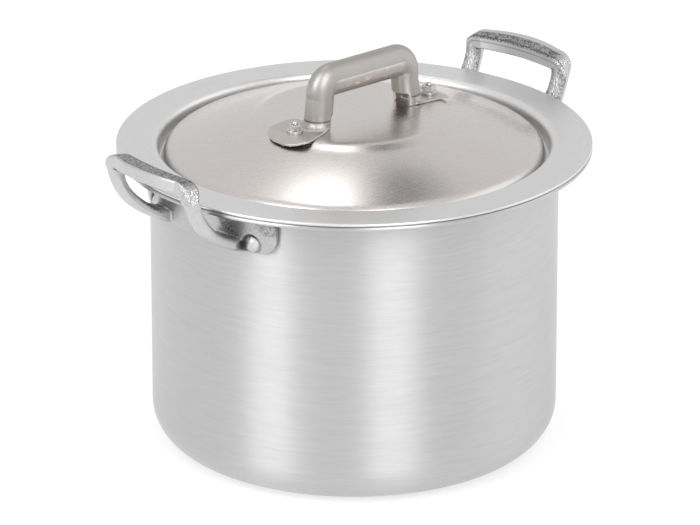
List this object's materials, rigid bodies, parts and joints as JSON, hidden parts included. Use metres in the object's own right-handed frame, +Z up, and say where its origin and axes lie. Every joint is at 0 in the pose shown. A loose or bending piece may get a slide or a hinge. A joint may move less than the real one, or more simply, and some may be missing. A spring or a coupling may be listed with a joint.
{
  "type": "cooking pot",
  "caption": "Deep aluminium cooking pot with two cast loop handles riveted on, and a flanged domed lid with a tube handle.",
  "frame": {"origin": "centre of the pot's flat base, on its axis", "axes": "+Z up along the pot's axis; the left side handle points along -X; the lid's handle lies along X, a little to the -Y side"},
  "size_m": [0.3305, 0.285, 0.2434],
  "materials": {
    "spun_aluminium": "satin, with fine turned lines round the wall and rim",
    "lid_aluminium": "satin rim, brighter buffed dome with fine crossed scratches",
    "cast_aluminium": "smooth satin faces and rough sand-cast faces",
    "handle_aluminium": "satin, buffed along the tube",
    "rivet_aluminium": "bright",
    "fastener_metal": "bright and slightly worn"
  },
  "bodies": {
    "pot": {"pot_body": "spun_aluminium", "left_handle": "cast_aluminium", "right_handle": "cast_aluminium", "left_rivet_front": "rivet_aluminium", "left_rivet_back": "rivet_aluminium", "right_rivet_front": "rivet_aluminium", "right_rivet_back": "rivet_aluminium"},
    "lid": {"lid_shell": "lid_aluminium", "lid_handle": "handle_aluminium", "left_lid_screw": "fastener_metal", "right_lid_screw": "fastener_metal", "left_lid_washer": "fastener_metal", "right_lid_washer": "fastener_metal", "left_lid_nut": "fastener_metal", "right_lid_nut": "fastener_metal"}
  },
  "joints": [
    {"name": "lid_lift", "type": "slide", "parent": "pot", "child": "lid", "axis": [0, 0, 1], "range_m": [0, 0.12]}
  ]
}
